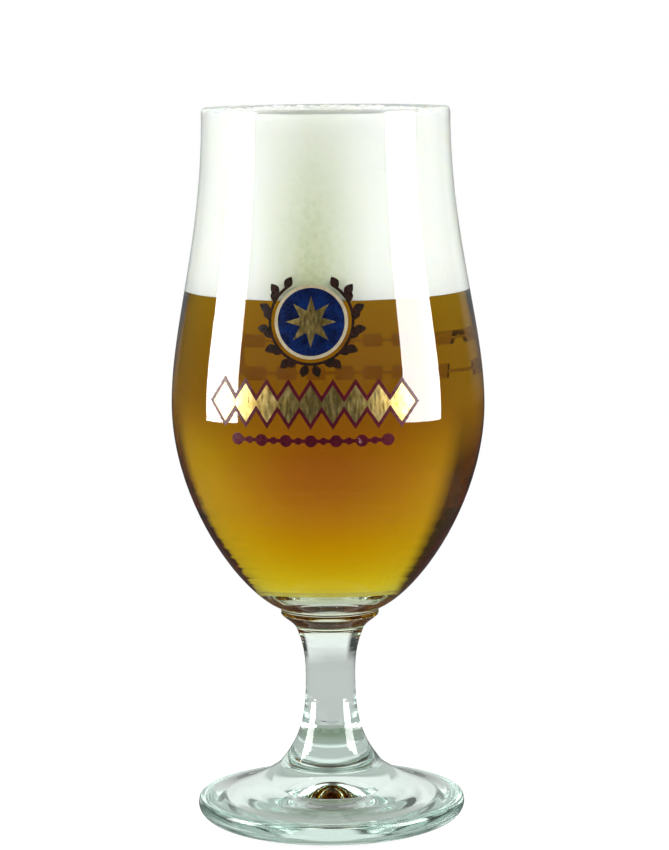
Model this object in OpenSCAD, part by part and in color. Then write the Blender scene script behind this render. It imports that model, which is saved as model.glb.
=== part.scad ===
// Tulip beer glass on a short stem, poured full: a blown bowl welded to a collar, a stem and a
// pressed foot, with the beer, its tall head of foam, and a fired enamel print on the bowl.
// Millimetres, +Z up. The origin is on the axis, at the table. The print faces -Y.

/* [Bowl] */
// height from the base of the bowl to its widest part
lower_h = 54.2; // [44:0.1:66]
// height from the widest part to the top of the rim
upper_h = 75.6; // [60:0.1:92]
// outside diameter at the widest part
belly_d = 80; // [70:0.1:92]
// outside diameter of the rim
rim_d = 63; // [54:0.1:70]
// wall thickness at the rim
rim_wall = 2.2; // [1.4:0.1:3.2]
// wall thickness at the widest part
belly_wall = 2.5; // [1.6:0.1:3.6]
// thickness of the solid glass under the beer
base_thick = 8.1; // [6:0.1:10]
// outside diameter where the sweep of the bowl starts, just above the weld
sweep_d = 26.7; // [25.5:0.1:30]
// height of the small fillet between the weld and that sweep
fillet_h = 1.7; // [1:0.1:3]
// angle of the sweep above level where it starts, in degrees
sweep_angle = 24; // [18:1:34]
// diameter of the level floor inside the bowl
floor_d = 13; // [8:0.5:17]

/* [Collar] */
// height of the weld ring between bowl and stem
collar_h = 3.8; // [2.8:0.1:5]
// outside diameter of the weld ring
collar_d = 25.2; // [23:0.1:27]
// height of the ring's straight side
collar_side = 0.2; // [0.2:0.1:1.2]
// angle of the ring's side above level where it leaves the stem, in degrees
collar_angle = 58; // [48:1:66]

/* [Stem] */
// height of the stem from the foot to the weld ring
stem_h = 35.6; // [28:0.1:46]
// diameter at the waist
waist_d = 12.8; // [10.5:0.1:15.5]
// height of the waist as a share of the stem
waist_at = 0.65; // [0.5:0.01:0.8]
// diameter at the top, where it meets the weld ring
stem_top_d = 17.4; // [16:0.1:20]
// diameter of the flare at the bottom, where it meets the foot
flare_d = 26.4; // [22:0.1:30]
// angle of the flare above level where it meets the foot, in degrees
flare_angle = 51; // [40:1:62]

/* [Foot] */
// height of the foot from the table to the stem
foot_h = 14.4; // [12:0.1:18]
// outside diameter of the foot
foot_d = 69; // [62:0.1:80]
// height of the foot's rounded edge
edge_h = 6.1; // [4.6:0.1:7.5]
// height of the foot's widest line
edge_line = 4.2; // [3:0.1:4.6]
// outside diameter of the flat ring that stands on the table
stand_d = 57.6; // [52:0.1:60]
// width of that flat ring
stand_w = 3.2; // [2:0.1:5]
// diameter of the shallow hollow under the foot where the steep flank round the dome ends
hollow_d = 37.5; // [33:0.5:38]
// height of the hollow there
hollow_h = 1.5; // [1:0.1:2]
// diameter of the dome under the stem
dome_d = 24.5; // [21:0.5:27]
// height of the dome's edge above the table
dome_edge_h = 3.4; // [2.8:0.1:4.4]
// height of the dome's top above the table
dome_h = 6.6; // [5.4:0.1:8.5]

/* [Contents] */
// height of the foam, from the beer to the foam's edge
foam_h = 45.2; // [30:0.1:54]
// drop from the top of the rim to the foam's edge
foam_drop = 1.2; // [1.1:0.1:6]
// rise of the foam's middle above its edge
foam_crown = 1.6; // [0.6:0.1:4]

/* [Print] */
// thickness of the fired enamel
print_t = 0.14; // [0.1:0.01:0.3]
// height of the roundel's centre above the table
roundel_z = 132.5; // [128:0.1:137]
// diameter of the blue field
field_d = 16.4; // [13:0.1:17]
// width of the cream ring round the blue field
ring_w = 0.8; // [0.6:0.1:1.4]
// diameter of the star's points
star_d = 12.4; // [9:0.1:12.6]
// diameter of the circle that the wreath's stalk follows
wreath_d = 20.4; // [20:0.1:23]
// length of one leaf
leaf_l = 3.4; // [2.8:0.1:4.4]
// width of one leaf
leaf_w = 2.2; // [1.2:0.1:2.4]
// leaves along each side of the wreath
leaf_count = 12; // [6:1:14]
// width of the wreath's stalk
stalk_w = 0.7; // [0.4:0.1:1]
// clear gap between the cream ring and the wreath
leaf_gap = 0.3; // [0.2:0.05:0.6]
// height of the middle of the lozenge chain above the table
chain_z = 112.6; // [109:0.1:114]
// length of the lozenge chain
chain_l = 49; // [42:0.5:56]
// height of one lozenge
lozenge_h = 9.4; // [6:0.1:10.4]
// lozenges in the chain
lozenge_count = 9; // [7:2:11]
// width of the dark edging round the lozenges
edging_w = 0.8; // [0.5:0.1:1.2]
// height of the thin rule above the table
rule_z = 103.6; // [100:0.1:105]
// length of the thin rule
rule_l = 37; // [28:0.5:44]
// thickness of the thin rule's line
rule_w = 0.9; // [0.4:0.1:1.2]
// size of the beads on the thin rule
bead_d = 3; // [1.6:0.1:3.6]
// beads on the thin rule
bead_count = 13; // [7:2:15]
// height of the middle of the back border above the table
border_z = 115; // [110:0.1:120]
// length of the back border
border_l = 32; // [26:0.5:44]
// height of the back border
border_h = 11; // [8:0.1:14]
// thickness of the back border's lines
border_w = 0.6; // [0.4:0.1:1.2]
// height of the tiles on the back border's lines
tile_h = 3.2; // [2:0.1:3.8]
// width of one tile
tile_w = 2.6; // [1.6:0.1:2.8]
// tiles along each line of the back border
tile_count = 8; // [5:1:9]

/* [Hidden] */
$fn = 96;

// heights of the welds, the widest part and the rim above the table
collar_z = foot_h + stem_h;
bowl_z = collar_z + collar_h;
belly_z = bowl_z + lower_h;
rim_z = belly_z + upper_h;
floor_z = bowl_z + base_thick;
foam_edge_z = rim_z - foam_drop;
beer_z = foam_edge_z - foam_h;
waist_z = foot_h + stem_h * waist_at;

// how strongly each curve leaves its ends, as a share of its span
sweep_pull = 0.43;
belly_pull = 0.46;
shoulder_pull = 0.27;
lip_pull = 0.43;
floor_pull = 0.55;
inner_belly_pull = 0.51;
flare_pull = 0.39;
waist_pull = 0.46;
neck_pull = 0.58;
neck_end_pull = 0.22;
foot_rim_pull = 0.34;
foot_neck_pull = 0.12;
round_pull = 0.55;
dome_top_pull = 0.16;
dome_edge_pull = 0.53;
flank_pull = 0.4;

// straight pieces along the long curves, the short curves, the dome and the rolled rim
long_steps = 22;
short_steps = 8;
dome_steps = 14;
roll_steps = 10;

colour_glass = [0.86, 0.93, 0.9, 0.4];
colour_beer = [0.66, 0.4, 0.05, 0.85];
colour_foam = [0.96, 0.95, 0.88];
colour_blue = [0.06, 0.11, 0.36];
colour_gold = [0.86, 0.68, 0.3];
colour_cream = [0.9, 0.85, 0.68];
colour_leaf = [0.2, 0.17, 0.08];
colour_red = [0.36, 0.06, 0.08];
colour_brown = [0.3, 0.14, 0.05];

// point at share t of a curve that leaves a towards b and reaches d from c
function curve_at(a, b, c, d, t) =
    pow(1 - t, 3) * a + 3 * pow(1 - t, 2) * t * b + 3 * (1 - t) * t * t * c + pow(t, 3) * d;

// points along that curve, without its last one
function curve(a, b, c, d, steps) = [for (i = [0 : steps - 1]) curve_at(a, b, c, d, i / steps)];

// points turned end for end
function back_along(pts) = [for (i = [len(pts) - 1 : -1 : 0]) pts[i]];

// one step of length l at an angle above level
function step(l, angle) = l * [cos(angle), sin(angle)];

// outside of the bowl, from the weld up to the start of the rolled rim
weld_point = [collar_d / 2, bowl_z];
sweep_point = [sweep_d / 2, bowl_z + fillet_h];
belly_point = [belly_d / 2, belly_z];
lip_point = [rim_d / 2, rim_z - rim_wall / 2];
fillet_step = fillet_h * round_pull;
sweep_step = (belly_d - sweep_d) / 2 * sweep_pull;
belly_step = (lower_h - fillet_h) * belly_pull;
bowl_outside = concat(
    curve(weld_point, weld_point + [0, fillet_step], sweep_point - step(fillet_step, sweep_angle),
          sweep_point, short_steps),
    curve(sweep_point, sweep_point + step(sweep_step, sweep_angle), belly_point - [0, belly_step],
          belly_point, long_steps),
    curve(belly_point, belly_point + [0, upper_h * shoulder_pull], lip_point - [0, upper_h * lip_pull],
          lip_point, long_steps));

// inside of the bowl, from the middle of the floor up to the rolled rim
floor_edge = [floor_d / 2, floor_z];
inner_belly = belly_point - [belly_wall, 0];
inner_lip = lip_point - [rim_wall, 0];
floor_step = (belly_d - floor_d) / 2 * floor_pull;
inner_belly_step = (belly_z - floor_z) * inner_belly_pull;
bowl_inside = concat(
    [[0, floor_z]],
    curve(floor_edge, floor_edge + [floor_step, 0], inner_belly - [0, inner_belly_step],
          inner_belly, long_steps),
    curve(inner_belly, inner_belly + [0, upper_h * shoulder_pull], inner_lip - [0, upper_h * lip_pull],
          inner_lip, long_steps));

// rolled rim, from the outside over to the inside
rim_roll = [for (i = [0 : roll_steps])
    lip_point + [-rim_wall / 2, 0] + step(rim_wall / 2, 180 * i / roll_steps)];

// outside of the stem, from the foot up to the weld ring
flare_point = [flare_d / 2, foot_h];
waist_point = [waist_d / 2, waist_z];
neck_point = [stem_top_d / 2, collar_z];
neck_angle = 70;
stem_side = concat(
    curve(flare_point, flare_point + step((waist_z - foot_h) * flare_pull, 180 - flare_angle),
          waist_point - [0, (waist_z - foot_h) * waist_pull], waist_point, long_steps),
    curve(waist_point, waist_point + [0, (collar_z - waist_z) * neck_pull],
          neck_point - step((collar_z - waist_z) * neck_end_pull, neck_angle), neck_point, short_steps));

// side of the weld ring, from the stem up to the bowl
collar_top_angle = 45;
collar_low = [collar_d / 2, bowl_z - collar_side];
collar_step = (collar_h - collar_side) * round_pull;
collar_outside = concat(
    curve(neck_point, neck_point + step(collar_step, collar_angle),
          collar_low - step(collar_step, collar_top_angle), collar_low, short_steps),
    [collar_low, weld_point]);

// outline of the foot: down the dome and its flank, out to the standing ring, round the edge and up
dome_edge = [dome_d / 2, dome_edge_h];
flank_end = [hollow_d / 2, hollow_h];
stand_in = [stand_d / 2 - stand_w, 0];
stand_out = [stand_d / 2, 0];
foot_line = [foot_d / 2, edge_line];
edge_round = 0.04;
foot_edge = [foot_d / 2 * (1 - edge_round), edge_h];
dome_slope = 13.5;
flank_slope = 21.5;
hollow_slope = 15.5;
foot_top_slope = 2;
flank_step = (hollow_d - dome_d) / 2 * flank_pull;
top_span = (foot_d - flare_d) / 2;
foot_outline = concat(
    curve([0, dome_h], [dome_d / 2 * dome_top_pull, dome_h],
          dome_edge + step(dome_d / 2 * dome_edge_pull, 180 - dome_slope), dome_edge, dome_steps),
    curve(dome_edge, dome_edge + step(flank_step, -flank_slope),
          flank_end + step(flank_step, 180 - hollow_slope), flank_end, short_steps),
    [flank_end, stand_in],
    curve(stand_out, stand_out + [(foot_d - stand_d) / 2 * round_pull, 0],
          foot_line - [0, edge_line * round_pull], foot_line, short_steps),
    curve(foot_line, foot_line + [0, (edge_h - edge_line) * round_pull],
          foot_edge + step((edge_h - edge_line) * round_pull, -foot_top_slope), foot_edge, short_steps),
    curve(foot_edge, foot_edge + step(top_span * foot_rim_pull, 180 - foot_top_slope),
          flare_point + step(top_span * foot_neck_pull, -flare_angle), flare_point, long_steps),
    [flare_point, [0, foot_h]]);

// shapes turned about the axis

module bowl() {
    color(colour_glass)
        rotate_extrude()
            polygon(concat([[0, bowl_z]], bowl_outside, rim_roll, back_along(bowl_inside)));
}

module collar() {
    color(colour_glass)
        rotate_extrude()
            polygon(concat([[0, collar_z]], collar_outside, [[0, bowl_z]]));
}

module stem() {
    color(colour_glass)
        rotate_extrude()
            polygon(concat([[0, foot_h]], stem_side, [neck_point, [0, collar_z]]));
}

module foot() {
    color(colour_glass)
        rotate_extrude()
            polygon(foot_outline);
}

// all the room inside the bowl, carried straight up past the rim for the foam that stands over it
module bowl_room() {
    room_z = rim_z + foam_crown;
    rotate_extrude()
        polygon(concat(bowl_inside, [inner_lip, [inner_lip[0], room_z], [0, room_z]]));
}

module beer() {
    color(colour_beer)
        intersection() {
            bowl_room();
            cylinder(d = belly_d, h = beer_z);
        }
}

module foam_head() {
    crown_r = (pow(rim_d / 2 - rim_wall, 2) + pow(foam_crown, 2)) / (2 * foam_crown);
    color(colour_foam)
        intersection() {
            bowl_room();
            translate([0, 0, beer_z])
                cylinder(d = belly_d, h = foam_h + foam_drop + foam_crown);
            translate([0, 0, foam_edge_z + foam_crown - crown_r])
                sphere(r = crown_r);
        }
}

// shapes printed on the bowl

// thin skin of enamel on the outside of the bowl between two heights
module enamel_skin(low, high) {
    inner = [for (p = bowl_outside) if (p[1] > low && p[1] < high) p];
    rotate_extrude()
        polygon(concat(inner, back_along([for (p = inner) p + [print_t, 0]])));
}

// a flat shape, drawn about its own centre, laid on the front of the bowl at height z
module on_front(z) {
    translate([0, 0, z])
        rotate([90, 0, 0])
            linear_extrude(height = belly_d)
                children();
}

module star_shape(d) {
    points = 8;
    dent = 0.46;
    polygon([for (i = [0 : 2 * points - 1])
        step(d / 2 * (i % 2 == 0 ? 1 : dent), 90 + 180 * i / points)]);
}

// pointed leaf that starts at the origin and lies along +X
module leaf_shape() {
    leaf_steps = 6;
    upper = [for (i = [0 : leaf_steps]) [leaf_l * i / leaf_steps, leaf_w / 2 * sin(180 * i / leaf_steps)]];
    lower = [for (i = [leaf_steps - 1 : -1 : 1])
        [leaf_l * i / leaf_steps, -leaf_w / 2 * sin(180 * i / leaf_steps)]];
    polygon(concat(upper, lower));
}

// row of joined lozenges along +X, with spare added square to the sides of each one
module lozenge_row(spare) {
    pitch = chain_l / lozenge_count;
    lozenge_w = pitch * (1 + lozenge_lap);
    side = norm([lozenge_w, lozenge_h]);
    half_w = lozenge_w / 2 + spare * side / lozenge_h;
    half_h = lozenge_h / 2 + spare * side / lozenge_w;
    for (i = [0 : lozenge_count - 1])
        translate([pitch * (i - (lozenge_count - 1) / 2), 0])
            polygon([[half_w, 0], [0, half_h], [-half_w, 0], [0, -half_h]]);
}

// how far neighbouring lozenges run into each other, as a share of their spacing
lozenge_lap = 0.12;

roundel_low = roundel_z - wreath_d;
roundel_high = roundel_z + wreath_d;

module roundel_field() {
    color(colour_blue)
        intersection() {
            enamel_skin(roundel_low, roundel_high);
            difference() {
                on_front(roundel_z) circle(d = field_d);
                on_front(roundel_z) star_shape(star_d);
            }
        }
}

module roundel_star() {
    color(colour_gold)
        intersection() {
            enamel_skin(roundel_low, roundel_high);
            on_front(roundel_z) star_shape(star_d);
        }
}

module roundel_ring() {
    color(colour_cream)
        intersection() {
            enamel_skin(roundel_low, roundel_high);
            difference() {
                on_front(roundel_z) circle(d = field_d + 2 * ring_w);
                on_front(roundel_z) circle(d = field_d);
            }
        }
}

module leaf_wreath() {
    open_angle = 32;
    span = (180 - open_angle) / leaf_count;
    first_leaf = 0.4;
    low_lean = 16;
    high_lean = 68;
    color(colour_leaf)
        intersection() {
            enamel_skin(roundel_low, roundel_high);
            difference() {
                union() {
                    difference() {
                        on_front(roundel_z) circle(d = wreath_d + stalk_w);
                        on_front(roundel_z)
                            polygon([[0, 0], step(wreath_d, 90 - open_angle),
                                     step(wreath_d, 90 + open_angle)]);
                        on_front(roundel_z) circle(d = wreath_d - stalk_w);
                    }
                    for (i = [0 : leaf_count - 1], side = [-1, 1])
                        on_front(roundel_z)
                            rotate(-90 + side * span * (i + first_leaf))
                                translate([wreath_d / 2, 0])
                                    rotate(side * (i % 2 == 0 ? low_lean : high_lean))
                                        leaf_shape();
                }
                on_front(roundel_z) circle(d = field_d + 2 * (ring_w + leaf_gap));
            }
        }
}

module lozenge_chain() {
    color(colour_gold)
        intersection() {
            enamel_skin(chain_z - lozenge_h, chain_z + lozenge_h);
            on_front(chain_z) lozenge_row(0);
        }
}

module chain_edging() {
    color(colour_red)
        intersection() {
            enamel_skin(chain_z - lozenge_h, chain_z + lozenge_h);
            difference() {
                on_front(chain_z) lozenge_row(edging_w);
                on_front(chain_z) lozenge_row(0);
            }
        }
}

module thin_rule() {
    small_bead = 0.6;
    bead_facets = 24;
    color(colour_red)
        intersection() {
            enamel_skin(rule_z - lozenge_h, rule_z + lozenge_h);
            union() {
                on_front(rule_z) square([rule_l, rule_w], center = true);
                for (i = [0 : bead_count - 1])
                    translate([rule_l * (i / (bead_count - 1) - 0.5), 0, 0])
                        on_front(rule_z)
                            circle(d = bead_d * (i % 2 == 0 ? 1 : small_bead), $fn = bead_facets);
            }
        }
}

module back_border() {
    row_gap = border_h - tile_h;
    tile_pitch = border_l / tile_count;
    pane_l = border_l - 2 * border_w;
    color(colour_brown)
        rotate([0, 0, 180])
            intersection() {
                enamel_skin(border_z - border_h, border_z + border_h);
                union() {
                    difference() {
                        on_front(border_z) square([border_l, row_gap + border_w], center = true);
                        on_front(border_z) square([pane_l, row_gap - border_w], center = true);
                    }
                    for (i = [0 : tile_count - 1], side = [-1, 1])
                        translate([tile_pitch * (i - (tile_count - 1) / 2), 0, 0])
                            on_front(border_z + side * row_gap / 2)
                                square([tile_w, tile_h], center = true);
                }
            }
}

bowl();
collar();
stem();
foot();
beer();
foam_head();
roundel_field();
roundel_star();
roundel_ring();
leaf_wreath();
lozenge_chain();
chain_edging();
thin_rule();
back_border();
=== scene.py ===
"""Tulip beer glass, poured full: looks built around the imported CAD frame. Metres, +Z up."""
import bisect
import math
import random

import bmesh
import bpy
from mathutils import Matrix, Vector, noise


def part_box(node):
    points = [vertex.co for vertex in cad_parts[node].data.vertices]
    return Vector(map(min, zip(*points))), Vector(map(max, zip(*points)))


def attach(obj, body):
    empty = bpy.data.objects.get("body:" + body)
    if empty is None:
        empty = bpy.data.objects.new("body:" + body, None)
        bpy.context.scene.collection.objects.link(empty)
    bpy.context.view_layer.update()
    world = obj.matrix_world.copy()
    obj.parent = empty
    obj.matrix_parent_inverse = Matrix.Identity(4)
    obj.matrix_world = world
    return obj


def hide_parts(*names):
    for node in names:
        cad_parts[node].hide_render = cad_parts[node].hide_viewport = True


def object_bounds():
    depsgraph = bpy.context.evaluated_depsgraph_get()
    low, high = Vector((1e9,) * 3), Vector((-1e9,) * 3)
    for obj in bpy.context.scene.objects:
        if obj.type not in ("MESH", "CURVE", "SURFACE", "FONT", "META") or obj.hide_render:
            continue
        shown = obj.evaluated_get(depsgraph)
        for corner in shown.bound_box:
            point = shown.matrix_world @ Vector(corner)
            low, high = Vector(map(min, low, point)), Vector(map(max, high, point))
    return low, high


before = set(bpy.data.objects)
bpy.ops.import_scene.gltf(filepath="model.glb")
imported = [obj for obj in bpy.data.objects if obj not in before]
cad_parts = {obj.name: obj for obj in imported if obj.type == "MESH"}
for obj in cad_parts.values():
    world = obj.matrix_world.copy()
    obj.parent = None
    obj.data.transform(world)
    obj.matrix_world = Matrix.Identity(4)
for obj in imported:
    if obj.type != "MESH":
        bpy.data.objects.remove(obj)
cad_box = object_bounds()

MM = 0.001

# how the meshes are drawn
TURN_STEPS = 240            # facets round a turned piece
CURVE_STEPS = 5             # spans drawn between two points of a CAD outline
CORNER_DEGREES = 24         # an outline bend sharper than this stays a corner
RING_GAP = 0.02 * MM        # points of one ring lie closer together than this
ON_AXIS = 0.001 * MM        # a radius below this counts as none
LEAST_RISE = 1e-9           # smallest rise of an outline that is divided by
SAME_POINT = 0.001 * MM     # points of a print closer together than this are one
PRINT_GRAIN = 0.7 * MM      # longest edge left in a print
PRINT_CUTS = 3              # most times that an edge of a print is halved
PRINT_CORNER_DEGREES = 40   # a bend of a print sharper than this stays a corner

# how the pieces meet
WELD_LAP = 0.03 * MM        # how far one melted-on glass piece reaches into the next
BEER_LAP = 0.10 * MM        # how far the beer's skin lies inside the glass wall
FOAM_LAP = 0.30 * MM        # how far the foam presses into the glass wall
PRINT_LAP = 0.03 * MM       # how far the print's underside is fired into the glass
PRINT_RISE = 0.12 * MM      # how far the print stands off the glass

# the dome under the foot, drawn rounder than in the CAD
DOME_R = 12.25 * MM         # radius of its edge
DOME_TOP = 6.0 * MM         # its height on the axis
DOME_STEPS = 70             # points on its curve
DOME_LEVEL = 4.0 * MM       # how far its curve pulls level from the axis
DOME_FALL = Vector((-6.32, 1.517)) * MM  # pull of its curve on the way down to its edge

# refraction at a glass face, by what lies on its other side
GLASS_IOR = 1.52
BEER_IOR = 1.34
WET_IOR = GLASS_IOR / BEER_IOR
WELD_IOR = 1.0
AIR_IOR_FROM = GLASS_IOR - 0.1  # a face with more than this has air on its other side


# outlines of the turned pieces, read from the frame

def outline(node):
    """Half outline of a turned CAD node as ordered (radius, height) points, from its lowest end up."""
    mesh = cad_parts[node].data
    rings, links, ring_of, near = [], {}, [], {}
    for v in mesh.vertices:
        r, z = math.hypot(v.co.x, v.co.y), v.co.z
        column, row = round(r / RING_GAP), round(z / RING_GAP)
        beside = [(column + x, row + y) for x in (-1, 0, 1) for y in (-1, 0, 1)]
        for i in [near[cell] for cell in beside if cell in near]:
            if abs(r - rings[i][0]) < RING_GAP and abs(z - rings[i][1]) < RING_GAP:
                break
        else:
            i = len(rings)
            rings.append((r, z))
            links[i] = set()
            near[column, row] = i
        ring_of.append(i)
    for e in mesh.edges:
        a, b = ring_of[e.vertices[0]], ring_of[e.vertices[1]]
        if a != b:
            links[a].add(b)
            links[b].add(a)
    ends = [i for i in links if len(links[i]) == 1]
    path, last = [min(ends, key=lambda i: rings[i][1])], None
    while True:
        onward = [i for i in links[path[-1]] if i != last]
        if not onward:
            break
        last = path[-1]
        path.append(onward[0])
    return [Vector(rings[i]) for i in path]


def headings(run):
    """Direction of travel at each point of a run without corners, chosen so that its bend changes evenly."""
    spans = [(b - a).length for a, b in zip(run, run[1:])]
    chords = [(b - a) / span for a, b, span in zip(run, run[1:], spans)]
    # a row weighs the headings before, at and after a point, and gives what they add up to
    rows = [(0, 1, 0, Vector((1, 0))) if run[0].x < ON_AXIS else (0, 2, 1, 3 * chords[0])]
    for i in range(1, len(run) - 1):
        before, after = 1 / spans[i - 1], 1 / spans[i]
        total = 3 * (chords[i - 1] * before + chords[i] * after)
        rows.append((before, 2 * (before + after), after, total))
    rows.append((0, 1, 0, Vector((-1, 0))) if run[-1].x < ON_AXIS else (1, 2, 0, 3 * chords[-1]))
    shares, known = [], []
    for i, (before, here, after, total) in enumerate(rows):
        if i:
            here, total = here - before * shares[-1], total - before * known[-1]
        shares.append(after / here)
        known.append(total / here)
    out = [known[-1]]
    for share, value in zip(shares[-2::-1], known[-2::-1]):
        out.append(value - share * out[-1])
    return out[::-1]


def smooth(points):
    """The same outline with a curve drawn through its points: sharp corners stay, and so does its box."""
    def is_corner(i):
        bend = (points[i] - points[i - 1]).angle(points[i + 1] - points[i])
        return bend > math.radians(CORNER_DEGREES)

    last = len(points) - 1
    corners = [0] + [i for i in range(1, last) if is_corner(i)] + [last]
    out = []
    for start, end in zip(corners, corners[1:]):
        run = points[start:end + 1]
        heading = headings(run)
        for i, (a, b) in enumerate(zip(run, run[1:])):
            span = (b - a).length
            for t in (k / CURVE_STEPS for k in range(CURVE_STEPS)):
                out.append((2 * t**3 - 3 * t**2 + 1) * a + (t**3 - 2 * t**2 + t) * span * heading[i]
                           + (3 * t**2 - 2 * t**3) * b + (t**3 - t**2) * span * heading[i + 1])
    out.append(points[-1].copy())
    low, high, wide = min(p.y for p in points), max(p.y for p in points), max(p.x for p in points)
    return [Vector((min(max(p.x, 0), wide), min(max(p.y, low), high))) for p in out]


def round_dome(line):
    """The foot's outline with its dome drawn as one round curve from the axis to its edge."""
    start = next(i for i, p in enumerate(line) if p.x > DOME_R - RING_GAP)
    top, edge = Vector((0, DOME_TOP)), line[start]
    level, fall = top + Vector((DOME_LEVEL, 0)), edge + DOME_FALL
    curve = [(1 - t)**3 * top + 3 * (1 - t)**2 * t * level + 3 * (1 - t) * t**2 * fall + t**3 * edge
             for t in (k / DOME_STEPS for k in range(DOME_STEPS))]
    return curve + line[start:]


def radius_at(points, z):
    """Radius of an outline that rises all along, at a height."""
    k = min(max(bisect.bisect_left(points, z, key=lambda p: p.y), 1), len(points) - 1)
    a, b = points[k - 1], points[k]
    share = (z - a.y) / max(b.y - a.y, LEAST_RISE)
    return a.x + (b.x - a.x) * min(max(share, 0), 1)


def on_axis(z):
    """The point of an outline on the axis at a height."""
    return Vector((0, z))


# materials, all from nodes

class Nodes:
    """Short ways to add nodes to a tree. A value is a number, a colour or another node's output."""

    def __init__(self, tree):
        self.nodes, self.links = tree.nodes, tree.links

    def put(self, socket, value):
        """Set a socket, or link it to another node's output."""
        if isinstance(value, bpy.types.NodeSocket):
            self.links.new(value, socket)
        else:
            socket.default_value = value

    def math(self, operation, a, b=0):
        n = self.nodes.new("ShaderNodeMath")
        n.operation = operation
        self.put(n.inputs[0], a)
        self.put(n.inputs[1], b)
        return n.outputs[0]

    def times(self, a, b):
        return self.math("MULTIPLY", a, b)

    def inverse(self, a):
        """1 where the value is 0, and 0 where it is 1."""
        return self.math("SUBTRACT", 1, a)

    def unsigned(self, a):
        return self.math("ABSOLUTE", a)

    def some(self, count):
        """1 where a count is at least one."""
        return self.math("GREATER_THAN", count, 0.5)

    def part(self, vector, axis):
        """One component of a vector."""
        n = self.nodes.new("ShaderNodeSeparateXYZ")
        self.put(n.inputs[0], vector)
        return n.outputs[axis]

    def spread(self, source, low, high, start=0.3, end=0.7):
        """A value that goes from low to high while the source goes from start to end."""
        n = self.nodes.new("ShaderNodeMapRange")
        self.put(n.inputs["Value"], source)
        for key, value in (("From Min", start), ("From Max", end), ("To Min", low), ("To Max", high)):
            self.put(n.inputs[key], value)
        return n.outputs["Result"]

    def fade(self, share, a, b):
        """Value a where the share is 0, b where it is 1."""
        return self.spread(share, a, b, 0, 1)

    def band(self, source, low, high, soft):
        """1 while the source lies between low and high, fading to 0 over soft outside them."""
        return self.times(self.spread(source, 0, 1, low - soft, low),
                          self.spread(source, 1, 0, high, high + soft))

    def blend(self, share, a, b):
        """Colour a where the share is 0, b where it is 1."""
        n = self.nodes.new("ShaderNodeMix")
        n.data_type = "RGBA"
        self.put(n.inputs[0], share)
        for socket, value in ((n.inputs[6], a), (n.inputs[7], b)):
            self.put(socket, (*value, 1) if isinstance(value, tuple) else value)
        return n.outputs[2]

    def glow(self, colour):
        """A shader that shows one colour in any light."""
        n = self.nodes.new("ShaderNodeEmission")
        self.put(n.inputs["Color"], (*colour, 1) if isinstance(colour, tuple) else colour)
        return n.outputs[0]

    def either(self, share, a, b):
        """Shader a where the share is 0, b where it is 1."""
        n = self.nodes.new("ShaderNodeMixShader")
        for socket, value in zip(n.inputs, (share, a, b)):
            self.put(socket, value)
        return n.outputs[0]

    def rays(self):
        """1 for each kind of ray: straight from the camera, on through glass, mirrored by a shiny face,
        and having crossed glass or met a matt face anywhere before. A lamp knows only the last two."""
        path = self.nodes.new("ShaderNodeLightPath").outputs
        through = path["Is Transmission Ray"]
        return {
            "camera": path["Is Camera Ray"],
            "through": through,
            "mirrored": self.times(path["Is Glossy Ray"], self.inverse(through)),
            "crossed": self.some(path["Transmission Depth"]),
            "matt": self.some(path["Diffuse Depth"]),
        }


class Finish(Nodes):
    """A Principled material under construction. Its patterns are measured in metres over the object."""

    def __init__(self, name):
        self.made = bpy.data.materials.new(name)
        self.made.use_nodes = True
        super().__init__(self.made.node_tree)
        self.shader, self.output = self.nodes["Principled BSDF"], self.nodes["Material Output"]
        self.place = self.nodes.new("ShaderNodeTexCoord").outputs["Object"]

    def set(self, **values):
        """Fill sockets of the shader, named with underscores for spaces."""
        for key, value in values.items():
            self.put(self.shader.inputs[key.replace("_", " ")], value)
        return self

    def along(self, axis):
        """Distance along an axis from the middle of the table ring."""
        return self.part(self.place, axis)

    def outward(self):
        """Distance from the axis."""
        flat = self.nodes.new("ShaderNodeVectorMath")
        flat.operation = "MULTIPLY"
        self.put(flat.inputs[0], self.place)
        self.put(flat.inputs[1], (1, 1, 0))
        n = self.nodes.new("ShaderNodeVectorMath")
        n.operation = "LENGTH"
        self.put(n.inputs[0], flat.outputs["Vector"])
        return n.outputs["Value"]

    def noise(self, size, detail=3.0, stretch=(1, 1, 1)):
        """Cloudy pattern with features of about this size."""
        at = self.nodes.new("ShaderNodeMapping")
        self.put(at.inputs["Scale"], [1 / size / s for s in stretch])
        self.put(at.inputs["Vector"], self.place)
        n = self.nodes.new("ShaderNodeTexNoise")
        self.put(n.inputs["Scale"], 1)
        self.put(n.inputs["Detail"], detail)
        self.put(n.inputs["Vector"], at.outputs[0])
        return n.outputs["Fac"]

    def cells(self, size):
        """Distance inside round cells of about this size."""
        n = self.nodes.new("ShaderNodeTexVoronoi")
        self.put(n.inputs["Scale"], 1 / size)
        self.put(n.inputs["Vector"], self.place)
        return n.outputs["Distance"]

    def bump(self, source, height, strength):
        """Give the surface the relief of a pattern."""
        n = self.nodes.new("ShaderNodeBump")
        self.put(n.inputs["Distance"], height)
        self.put(n.inputs["Strength"], strength)
        self.put(n.inputs["Height"], source)
        return self.set(Normal=n.outputs[0])

    def absorb(self, colour, density):
        """Colour the light by the way it goes inside."""
        n = self.nodes.new("ShaderNodeVolumeAbsorption")
        self.put(n.inputs["Color"], (*colour, 1))
        self.put(n.inputs["Density"], density)
        self.put(self.output.inputs["Volume"], n.outputs[0])


WHITE = (1, 1, 1)

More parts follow.
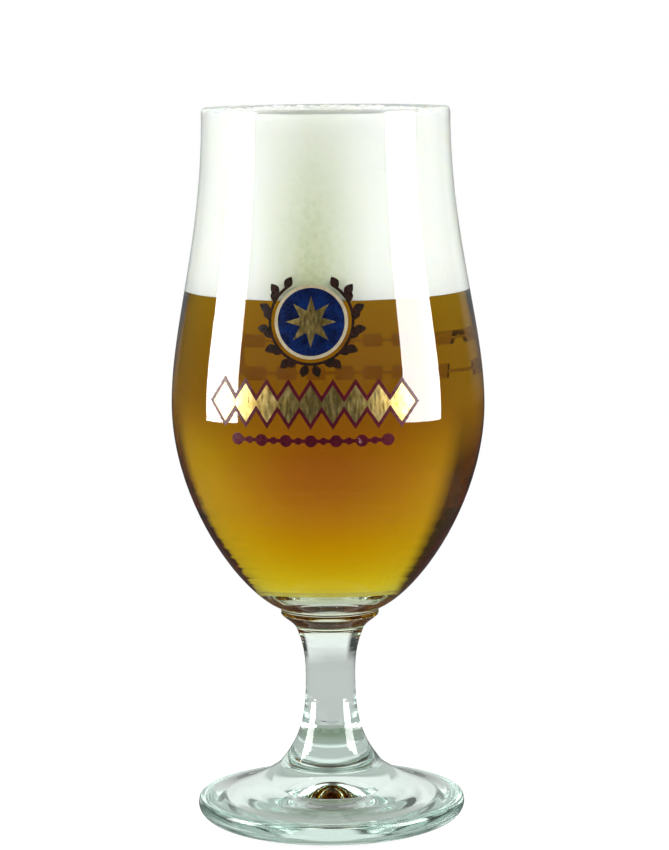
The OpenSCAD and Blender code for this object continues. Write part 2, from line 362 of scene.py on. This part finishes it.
# clear glass: a zone is where a change starts and ends, or where a band lies and how soft it is
GLASS_TINT = (0.985, 0.992, 0.988)
GLASS_CAST, GLASS_DENSITY = (0.32, 0.84, 0.64), 5   # green in the thick
NECK_Z = 51 * MM, 60 * MM, 3 * MM                   # yellowish neck
NECK_TINT = (0.99, 0.99, 0.86)
FRONT_Y, FRONT_Z = (-30 * MM, -12 * MM), (8 * MM, 14 * MM)  # painted shade: the foot's front edge greyer, as the dark room in front would make it
FRONT_SHADE = (0.78, 0.81, 0.80)
FLANK_TURN = 0.86, 0.95                             # how far a face of the flanks is turned aside
FLANK_Z = 76 * MM, 136 * MM, 2 * MM
UNDER_BELLY_Z = 58 * MM, 76 * MM, 8 * MM
DIMMED_REFLECTION = (0.05, 0.05, 0.05)                           # painted shade: reflections dimmed on the flanks and under the belly, so these show darker
HIGHLIGHT_COAT, HIGHLIGHT_COAT_ROUGH = 0.65, 0.01                   # painted highlight: an extra coat that mirrors the lamps brighter on the upper bowl
HIGHLIGHT_COAT_Z = 80 * MM, 92 * MM
PRESSED = 0.12                                      # roughness of the foot's pressed edge
PRESSED_R, PRESSED_Z = (27 * MM, 33 * MM), (9 * MM, 14 * MM)
WAVE_HEIGHT = 0.06 * MM
WAVES_LOW, WAVES_HIGH = 0.08, 0.35                  # strength of the waves in the foot and in the bowl
WAVE_Z = 20 * MM, 60 * MM


def clear_glass():
    """Soda glass with a green cast in the thick, painted shade on the foot's front edge, the flanks and
    under the belly, and a painted highlight coat on the upper bowl. Each face says what lies on its other
    side.
    """
    f = Finish("clear_glass").set(Transmission_Weight=1.0, IOR=GLASS_IOR, Coat_Roughness=HIGHLIGHT_COAT_ROUGH)
    height = f.along("Z")
    beyond = f.nodes.new("ShaderNodeAttribute")
    beyond.attribute_name = "ior"
    beyond = beyond.outputs["Fac"]
    face = f.nodes.new("ShaderNodeNewGeometry").outputs
    outside = f.math("GREATER_THAN", f.math("SUBTRACT", beyond, face["Backfacing"]), AIR_IOR_FROM)

    tint = f.blend(f.spread(f.noise(size=14 * MM), 0, 1), WHITE, GLASS_TINT)
    tint = f.blend(f.band(height, *NECK_Z), tint, NECK_TINT)
    # painted shade: the front edge of the foot greyer, as if it faced the dark room in front
    front = f.times(f.spread(f.along("Y"), 1, 0, *FRONT_Y), f.spread(height, 1, 0, *FRONT_Z))
    tint = f.blend(front, tint, FRONT_SHADE)

    # painted shade: reflections dimmed on faces turned aside and under the belly
    sideways = f.spread(f.unsigned(f.part(face["Normal"], "X")), 0, 1, *FLANK_TURN)
    flank = f.times(sideways, f.band(height, *FLANK_Z))
    reflection_tint = f.blend(f.math("MAXIMUM", flank, f.band(height, *UNDER_BELLY_Z)), WHITE, DIMMED_REFLECTION)
    # painted highlight: an extra coat, off the flanks, that makes the lamps mirror brighter on the upper
    # bowl
    highlight_share = f.times(f.spread(height, 0, HIGHLIGHT_COAT, *HIGHLIGHT_COAT_Z), f.inverse(flank))

    grain = f.spread(f.noise(size=6 * MM, detail=5), low=0.0, high=0.012, start=0.45, end=0.75)
    pressed = f.times(f.spread(f.outward(), 0, PRESSED, *PRESSED_R), f.spread(height, 1, 0, *PRESSED_Z))
    waves = f.noise(size=16 * MM, detail=1.0, stretch=(1, 1, 2.5))
    f.bump(waves, WAVE_HEIGHT, f.spread(height, WAVES_LOW, WAVES_HIGH, *WAVE_Z))
    f.absorb(GLASS_CAST, GLASS_DENSITY)
    f.set(IOR=beyond, Base_Color=tint, Specular_Tint=reflection_tint, Coat_Weight=f.times(highlight_share, outside))
    return f.set(Roughness=f.math("ADD", grain, pressed)).made


# amber beer
BEER_CAST, BEER_DENSITY = (0.919, 0.842, 0.038), 130
BEER_SHADE_X, BEER_SHADE_Z = (6 * MM, 25 * MM), (66 * MM, 92 * MM)
BEER_MIDDLE_SHADE = (0.86, 0.48, 0.95)
BEER_STEPS = (                                      # heights over which it changes, and to what
    ((99 * MM, 107 * MM), (0.84, 0.66, 0.95)),
    ((118 * MM, 137 * MM), (0.92, 0.84, 0.95)),
)
BEER_CLOUD = (0.80, 0.60, 0.85)


def amber_beer():
    """Light amber beer, deeper towards the foam, with painted shade that darkens its middle.
    The glass wall bends the light, not the beer's skin."""
    f = Finish("amber_beer").set(Transmission_Weight=1.0, IOR=1.0)
    height = f.along("Z")
    # painted shade: the beer darker down its middle, across the front
    middle = f.spread(f.unsigned(f.along("X")), 1, 0, *BEER_SHADE_X)
    tint = f.blend(f.times(middle, f.spread(height, 0, 1, *BEER_SHADE_Z)), WHITE, BEER_MIDDLE_SHADE)
    for zone, tint_above in BEER_STEPS:
        tint = f.blend(f.spread(height, 0, 1, *zone), tint, tint_above)
    cloud = f.spread(f.noise(size=9 * MM, detail=4), low=0, high=0.12)
    f.set(Base_Color=f.blend(cloud, tint, BEER_CLOUD))
    f.set(Roughness=f.spread(f.noise(size=3 * MM), low=0.0, high=0.01))
    f.bump(f.noise(size=10 * MM), height=0.02 * MM, strength=0.2)
    f.absorb(BEER_CAST, BEER_DENSITY)
    return f.made


# foam
FOAM_TONES = (0.975, 0.975, 0.94), (0.955, 0.955, 0.91)
FOAM_MIDDLE_X, FOAM_SHADE_Z = (1 * MM, 14 * MM), (140 * MM, 180 * MM)
FOAM_TOP_SHADE = 0.25                                     # share of the painted shade left at the top
FOAM_SHADE_TONE = (0.48, 0.52, 0.26)
FROTH_TONE = (0.90, 0.90, 0.82)
FROTH_LARGE, FROTH_SMALL = 0.6, 0.4                 # shares of large and small bubbles in its grain


def beer_foam():
    """Dense foam of small bubbles, with painted shade that makes its middle olive and darker, most near the
    beer.
    """
    f = Finish("beer_foam").set(Subsurface_Weight=0.35, Subsurface_Scale=2.5 * MM)
    f.set(Subsurface_Radius=(1.0, 0.9, 0.6), Specular_IOR_Level=0.3)
    large, small = f.cells(size=1.7 * MM), f.cells(size=0.55 * MM)
    froth = f.math("ADD", f.times(large, FROTH_LARGE), f.times(small, FROTH_SMALL))
    cloud = f.spread(f.noise(size=11 * MM, detail=4, stretch=(1, 1, 1.6)), 0, 1, start=0.35, end=0.65)
    middle = f.spread(f.unsigned(f.along("X")), 1, 0, *FOAM_MIDDLE_X)
    # painted shade: the middle of the foam olive and darker, as if lit only from the sides, fading towards
    # the top
    shaded_middle = f.times(middle, f.spread(f.along("Z"), 1, FOAM_TOP_SHADE, *FOAM_SHADE_Z))
    tone = f.blend(shaded_middle, f.blend(cloud, *FOAM_TONES), FOAM_SHADE_TONE)
    f.set(Base_Color=f.blend(f.spread(froth, low=0, high=0.3, start=0.15, end=0.7), tone, FROTH_TONE))
    f.set(Roughness=f.spread(small, low=0.5, high=0.8, start=0.1, end=0.7))
    return f.bump(froth, height=0.16 * MM, strength=0.6).made


# the print, each tone at its deepest and palest
ENAMELS = {
    "blue_enamel": ((0.002, 0.004, 0.026), (0.004, 0.020, 0.110)),
    "cream_enamel": ((0.44, 0.37, 0.23), (0.58, 0.50, 0.34)),
    "leaf_enamel": ((0.010, 0.008, 0.004), (0.032, 0.011, 0.009)),
    "red_enamel": ((0.062, 0.004, 0.010), (0.105, 0.008, 0.018)),
}
FILM_TONES = (0.80, 0.68, 0.58), (0.88, 0.78, 0.69)
GOLD_TONES = (0.62, 0.42, 0.10), (0.86, 0.66, 0.26)


def enamel(name, tones, rough=(0.22, 0.38)):
    """Fired enamel, slightly uneven in colour and gloss."""
    f = Finish(name).set(Specular_IOR_Level=0.3)
    f.set(Base_Color=f.blend(f.spread(f.noise(size=2.2 * MM, detail=5), 0, 1), *tones))
    f.set(Roughness=f.spread(f.noise(size=0.8 * MM, detail=4), *rough))
    return f.bump(f.noise(size=0.5 * MM), height=0.02 * MM, strength=0.5)


def brown_enamel():
    """The thin print on the back, which lets most light through."""
    film = enamel("brown_enamel", FILM_TONES, rough=(0.12, 0.2))
    return film.set(Transmission_Weight=0.94, IOR=GLASS_IOR).made


def gilding():
    """Bright gold transfer, brushed and a little worn."""
    f = Finish("gilding").set(Metallic=1.0)
    wear = f.spread(f.noise(size=1.6 * MM, detail=5), 0, 1)
    f.set(Base_Color=f.blend(wear, *GOLD_TONES))
    f.set(Roughness=f.spread(f.noise(size=0.7 * MM, detail=4, stretch=(1, 1, 4)), low=0.24, high=0.46))
    return f.bump(f.noise(size=0.45 * MM, stretch=(1, 1, 3)), height=0.02 * MM, strength=0.6).made


materials = {
    "clear_glass": clear_glass(),
    "amber_beer": amber_beer(),
    "beer_foam": beer_foam(),
    "gilding": gilding(),
    "brown_enamel": brown_enamel(),
}
for slot, tones in ENAMELS.items():
    materials[slot] = enamel(slot, tones).made


# mesh builders

def placed(name, data):
    """A new object in the scene."""
    made = bpy.data.objects.new(name, data)
    bpy.context.scene.collection.objects.link(made)
    return made


def add_piece(name, bm, node, slot):
    """The finished mesh as a piece that stands in for a CAD node."""
    mesh = bpy.data.meshes.new(name)
    bm.to_mesh(mesh)
    bm.free()
    mesh.materials.append(materials[slot])
    piece = placed(name, mesh)
    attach(piece, "root")
    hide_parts(node)


def turned(points, ior_of=None):
    """A closed mesh turned about the axis; ior_of gives the ior kept on the band after point i."""
    bm = bmesh.new()
    kept = bm.faces.layers.float.new("ior") if ior_of else None
    turns = [2 * math.pi * k / TURN_STEPS for k in range(TURN_STEPS)]
    rings = []
    for p in points:
        if p.x < ON_AXIS:
            rings.append([bm.verts.new((0, 0, p.y))] * TURN_STEPS)
        else:
            rings.append([bm.verts.new((p.x * math.cos(a), p.x * math.sin(a), p.y)) for a in turns])
    for i, (low, high) in enumerate(zip(rings, rings[1:])):
        for k in range(TURN_STEPS):
            n = (k + 1) % TURN_STEPS
            corners = list(dict.fromkeys((low[k], low[n], high[n], high[k])))
            if len(corners) > 2:
                face = bm.faces.new(corners)
                face.smooth = True
                if kept:
                    face[kept] = ior_of(i)
    bmesh.ops.recalc_face_normals(bm, faces=bm.faces)
    return bm


def welded(line):
    """A glass piece with a lap at its top that reaches into the piece above."""
    if line[0].x < ON_AXIS:
        points, under = line, GLASS_IOR
    else:
        points, under = [on_axis(line[0].y)] + line, WELD_IOR
    lap_z = line[-1].y + WELD_LAP
    lap_start = len(points) - 1
    points = points + [Vector((line[-1].x - WELD_LAP, lap_z)), on_axis(lap_z)]
    return turned(points, lambda i: under if i == 0 else WELD_IOR if i >= lap_start else GLASS_IOR)


def printed(node, wall):
    """A print from the frame, cut finer and laid on the smooth outside of the bowl."""
    bm = bmesh.new()
    bm.from_mesh(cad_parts[node].data)
    bmesh.ops.remove_doubles(bm, verts=bm.verts, dist=SAME_POINT)
    bmesh.ops.triangulate(bm, faces=bm.faces)
    for _ in range(PRINT_CUTS):
        long = [e for e in bm.edges if e.calc_length() > PRINT_GRAIN]
        if not long:
            break
        bmesh.ops.subdivide_edges(bm, edges=long, cuts=1)
        bmesh.ops.triangulate(bm, faces=[face for face in bm.faces if len(face.verts) > 3])
    for v in bm.verts:
        r = math.hypot(v.co.x, v.co.y)
        glass_r = radius_at(wall, v.co.z)
        raised = r > glass_r + PRINT_RISE / 2
        new_r = glass_r + (PRINT_RISE if raised else -PRINT_LAP)
        v.co.x, v.co.y = v.co.x / r * new_r, v.co.y / r * new_r
    bmesh.ops.recalc_face_normals(bm, faces=bm.faces)
    for face in bm.faces:
        face.smooth = True
    for e in bm.edges:
        if len(e.link_faces) == 2 and e.calc_face_angle() > math.radians(PRINT_CORNER_DEGREES):
            e.smooth = False
    return bm


# the glass itself: four pieces melted together

bowl_line = smooth(outline("bowl"))
rim = max(range(len(bowl_line)), key=lambda i: bowl_line[i].y)
outer_line, inner_line = bowl_line[:rim + 1], bowl_line[rim:][::-1]
bowl_points = [on_axis(bowl_line[0].y)] + bowl_line + [on_axis(bowl_line[-1].y)]
beer_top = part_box("beer")[1][2]


def bowl_ior(i):
    """Under the bowl is its weld, inside it the beer up to its level, and elsewhere air."""
    if i == 0:
        return WELD_IOR
    inside = i > rim + 1
    return WET_IOR if inside and bowl_points[i + 1].y <= beer_top else GLASS_IOR


add_piece("bowl_glass", turned(bowl_points, bowl_ior), "bowl", "clear_glass")
add_piece("collar_glass", welded(smooth(outline("collar"))), "collar", "clear_glass")
add_piece("stem_glass", welded(smooth(outline("stem"))), "stem", "clear_glass")
add_piece("foot_glass", welded(round_dome(smooth(outline("foot")))), "foot", "clear_glass")

# the beer, up to its level

beer_r = radius_at(inner_line, beer_top)
lap_top = beer_top + BEER_LAP
wet_wall = [p + Vector((BEER_LAP, 0)) for p in inner_line if p.y < beer_top]
wet_wall[0].y -= BEER_LAP
beer_points = [on_axis(wet_wall[0].y)] + wet_wall + [Vector((beer_r + BEER_LAP, lap_top)), on_axis(lap_top)]
add_piece("beer_liquid", turned(beer_points), "beer", "amber_beer")

# the foam, with an uneven crown of bubbles

CROWN_DEPTH = 4 * MM        # the crown lies within this of the foam's top
CROWN_EDGE = 0.97           # share of the crown's radius from which a point lies on its edge
CROWN_RINGS = 40
CROWN_SINK = 0.45 * MM      # room left over the crown for its bubbles
CROWN_WAVES = (0.22 * MM, 2.2 * MM), (0.12 * MM, 0.8 * MM)  # height and length
CALM_Z, CALM_R = 0.01 * MM, 0.5 * MM    # the crown has no waves this close to its edge
BUBBLES, BUBBLE_SEED = 420, 7
BUBBLE_LEAST, BUBBLE_MORE = 0.35 * MM, 1.1 * MM     # smallest radius, and the most that chance adds
BUBBLE_MARGIN = 2.2 * MM    # they stay this far inside the edge
BUBBLE_SUNK = 0.45          # share of its radius that a bubble's middle lies under the crown
BUBBLE_ROOM = 0.02 * MM     # room left over the highest ones

foam_rings = outline("foam_head")
foam_top = max(p.y for p in foam_rings)
crown_r = max(p.x for p in foam_rings if p.y > foam_top - CROWN_DEPTH)
foam_edge = max(p.y for p in foam_rings if p.x > CROWN_EDGE * crown_r)
edge_r = radius_at(inner_line, foam_edge) + FOAM_LAP
crown_h = foam_top - foam_edge - CROWN_SINK


def crown_z(r):
    """Height of the crown at a distance from the axis."""
    return foam_edge + crown_h * (1 - (r / edge_r) ** 2)


foam_points = [on_axis(beer_top), Vector((beer_r + FOAM_LAP, beer_top))]
foam_points += [p + Vector((FOAM_LAP, 0)) for p in inner_line if beer_top < p.y < foam_edge]
for r in (edge_r * (1 - k / CROWN_RINGS) for k in range(CROWN_RINGS + 1)):
    foam_points.append(Vector((r, crown_z(r))))
foam = turned(foam_points)
for v in foam.verts:
    if v.co.z > foam_edge + CALM_Z and math.hypot(v.co.x, v.co.y) < edge_r - CALM_R:
        v.co.z += sum(height * noise.noise(v.co / length) for height, length in CROWN_WAVES)
dice = random.Random(BUBBLE_SEED)
for _ in range(BUBBLES):
    size = BUBBLE_LEAST + BUBBLE_MORE * dice.random() ** 3
    r, a = (edge_r - BUBBLE_MARGIN) * math.sqrt(dice.random()), 2 * math.pi * dice.random()
    z = min(crown_z(r) - size * BUBBLE_SUNK, foam_top - size - BUBBLE_ROOM)
    at = Matrix.Translation((r * math.cos(a), r * math.sin(a), z))
    bubble = bmesh.ops.create_icosphere(foam, subdivisions=2, radius=size, matrix=at)
    for face in {face for v in bubble["verts"] for face in v.link_faces}:
        face.smooth = True
add_piece("foam_head_body", foam, "foam_head", "beer_foam")

# the print, fired on the outside of the bowl

PRINT = (
    ("roundel_field", "blue_enamel"),
    ("roundel_star", "gilding"),
    ("roundel_ring", "cream_enamel"),
    ("leaf_wreath", "leaf_enamel"),
    ("lozenge_chain", "gilding"),
    ("chain_edging", "red_enamel"),
    ("thin_rule", "red_enamel"),
    ("back_border", "brown_enamel"),
)
for node, slot in PRINT:
    add_piece(node + "_print", printed(node, outer_line), node, slot)

# stage: a plain pale floor that runs into a plain pale backdrop

FLOOR_REACH, FLOOR_SIDES = 0.25, 96
FLOOR_DROP = 0.05 * MM
FLOOR_TONES = (0.24, 0.24, 0.24), (0.28, 0.28, 0.28)
FLOOR_LIFT = 0.80                   # added to the lit floor where the camera sees it
SHADE_R = 0.07, 0.22                # the floor turns from lit surface to backdrop between these radii
SEEN_FLOOR = 0.60                   # brightness of the floor where glass shows it
SHADOW_UNDER_FOOT = (0.24, 0.31, 0.23)     # painted shadow under the middle of the foot, tinted green-yellow like light through glass and beer
UNDER_R = 0.006, 0.032              # it turns from that colour to the floor's between these radii
SEEN_MIRRORED = (0.08, 0.08, 0.08)  # colour of the floor in reflections
ROOM_CAST = (0.95, 1.0, 0.97)       # faint green cast of all that glass shows


def floor_finish():
    """Matt and lit near the glass, white further out, and plain colours where glass shows it, with a painted
    shadow under the middle of the foot.
    """
    f = Finish("floor").set(Emission_Color=(*WHITE, 1))
    rays, away = f.rays(), f.outward()
    f.set(Base_Color=f.blend(f.spread(f.noise(size=30 * MM, detail=4), 0, 1), *FLOOR_TONES))
    f.set(Roughness=f.spread(f.noise(size=8 * MM), low=0.6, high=0.75))
    f.bump(f.noise(size=2 * MM, detail=4), height=0.02 * MM, strength=0.3)
    f.set(Emission_Strength=f.times(rays["camera"], FLOOR_LIFT))
    far = f.times(f.spread(away, 0, 1, *SHADE_R), rays["camera"])
    # painted shadow under the foot, tinted like light that came through glass and beer, where glass shows
    # the floor
    under = f.blend(f.spread(away, 0, 1, *UNDER_R), SHADOW_UNDER_FOOT, tuple(SEEN_FLOOR * c for c in ROOM_CAST))
    seen = f.either(far, f.shader.outputs[0], f.glow(WHITE))
    seen = f.either(rays["mirrored"], seen, f.glow(SEEN_MIRRORED))
    f.put(f.output.inputs["Surface"], f.either(rays["through"], seen, f.glow(under)))
    return f.made


mesh = bpy.data.meshes.new("floor")
bm = bmesh.new()
bmesh.ops.create_circle(bm, cap_ends=True, segments=FLOOR_SIDES, radius=FLOOR_REACH)
bm.to_mesh(mesh)
bm.free()
mesh.materials.append(floor_finish())
floor = placed("floor", mesh)
floor.location.z = cad_box[0][2] - FLOOR_DROP

# the room: bearings are counted from straight behind, and a band of them has its softness last

BACKDROP = math.radians(-32), math.radians(36), math.radians(10)
BACKDROP_SEEN, BACKDROP_MIRRORED = 1.0, 0.6     # its brightness through glass and in reflections
FILL_BAND = math.radians(115), math.radians(155), math.radians(15)
FILL, FILL_SEEN = 2.35, 1.7         # soft light from the front left and right, on foam and as glass shows it
LOW_SOFT = 0.12                     # slope, up and down, over which the room fades to what lies low
LOW_FRONT = 0.25                    # brightness of the low front where glass shows it
LOW_TURN = math.radians(80), math.radians(110)  # it dims to that between these bearings
LOW_LIGHT, LOW_MIRRORED = 0.12, 0.05    # light from below the table's level on matt and on shiny faces
ROOM, CEILING = 0.06, 0.35
CEILING_RISE = 0.45, 0.85           # slopes between which the room turns to ceiling

world = bpy.data.worlds.new("studio")
bpy.context.scene.world = world
world.use_nodes = True
w = Nodes(world.node_tree)
rays = w.rays()
sky = w.nodes.new("ShaderNodeTexCoord").outputs["Generated"]
rise, bearing = w.part(sky, "Z"), w.math("ARCTAN2", w.part(sky, "X"), w.part(sky, "Y"))
aside = w.unsigned(bearing)
filled = w.times(w.band(aside, *FILL_BAND), rays["through"])
backdrop = w.fade(rays["mirrored"], BACKDROP_SEEN, BACKDROP_MIRRORED)
low_seen = w.spread(aside, SEEN_FLOOR, LOW_FRONT, *LOW_TURN)
low = w.fade(rays["through"], w.fade(rays["mirrored"], LOW_LIGHT, LOW_MIRRORED), low_seen)
level = w.spread(rise, ROOM, CEILING, *CEILING_RISE)
level = w.fade(filled, level, w.fade(rays["matt"], FILL_SEEN, FILL))
level = w.fade(w.band(bearing, *BACKDROP), level, backdrop)
level = w.fade(w.spread(rise, 1, 0, -LOW_SOFT, LOW_SOFT), level, low)
background = w.nodes["Background"].inputs
w.put(background["Strength"], w.fade(rays["camera"], level, 1.0))
w.put(background["Color"], w.blend(rays["camera"], ROOM_CAST, WHITE))

# two large softboxes, left and right

SOFTBOXES = ("softbox_left", -77.5, 1.10), ("softbox_right", 79, 1.18)  # degrees from the front, and width
LAMP_AWAY, LAMP_LOW, LAMP_HIGH = 2.0, -0.19, 1.50
LAMP_POWER = 78.0
LAMP_SEEN = 0.18                    # share of their brightness that shows through glass

for name, azimuth, width in SOFTBOXES:
    data = bpy.data.lights.new(name, "AREA")
    data.shape = "RECTANGLE"
    data.size, data.size_y = width, LAMP_HIGH - LAMP_LOW
    data.energy = LAMP_POWER
    data.use_nodes = True
    n = Nodes(data.node_tree)
    rays = n.rays()
    seen = n.times(rays["crossed"], n.inverse(rays["matt"]))
    n.put(n.nodes["Emission"].inputs["Strength"], n.fade(seen, 1.0, LAMP_SEEN))
    lamp = placed(name, data)
    inward = Vector((-math.sin(math.radians(azimuth)), math.cos(math.radians(azimuth)), 0))
    lamp.location = -LAMP_AWAY * inward + Vector((0, 0, (LAMP_HIGH + LAMP_LOW) / 2))
    lamp.rotation_euler = inward.to_track_quat("-Z", "Y").to_euler()
    lamp.visible_camera = False

# camera at the photograph's angle, fitted to its outline

CAMERA_TURN = math.radians(6.2)
CAMERA_AWAY, CAMERA_UP = 0.770, 0.2019
CAMERA_PITCH, CAMERA_YAW, CAMERA_ROLL = math.radians(7.36), math.radians(0.118), math.radians(0.49)
CAMERA_NEAR = 0.01
FOCAL_PIXELS, FRAME_PIXELS = 3030, 850      # focal length and height of the photograph
SENSOR = 36

data = bpy.data.cameras.new("camera")
data.lens = FOCAL_PIXELS / FRAME_PIXELS * SENSOR
data.sensor_width = SENSOR
data.clip_start = CAMERA_NEAR
camera = placed("camera", data)
camera.matrix_world = (
    Matrix.Rotation(CAMERA_TURN, 4, "Z")
    @ Matrix.Translation((0, -CAMERA_AWAY, CAMERA_UP))
    @ Matrix.Rotation(-CAMERA_YAW, 4, "Z")
    @ Matrix.Rotation(math.pi / 2 - CAMERA_PITCH, 4, "X")
    @ Matrix.Rotation(-CAMERA_ROLL, 4, "Z"))
bpy.context.scene.camera = camera
bpy.context.scene.view_settings.view_transform = "Standard"

# light crosses many glass faces before it leaves
GLASS_BOUNCES, SHINY_BOUNCES = 32, 16
cycles = bpy.context.scene.cycles
cycles.max_bounces = cycles.transmission_bounces = GLASS_BOUNCES
cycles.glossy_bounces = SHINY_BOUNCES
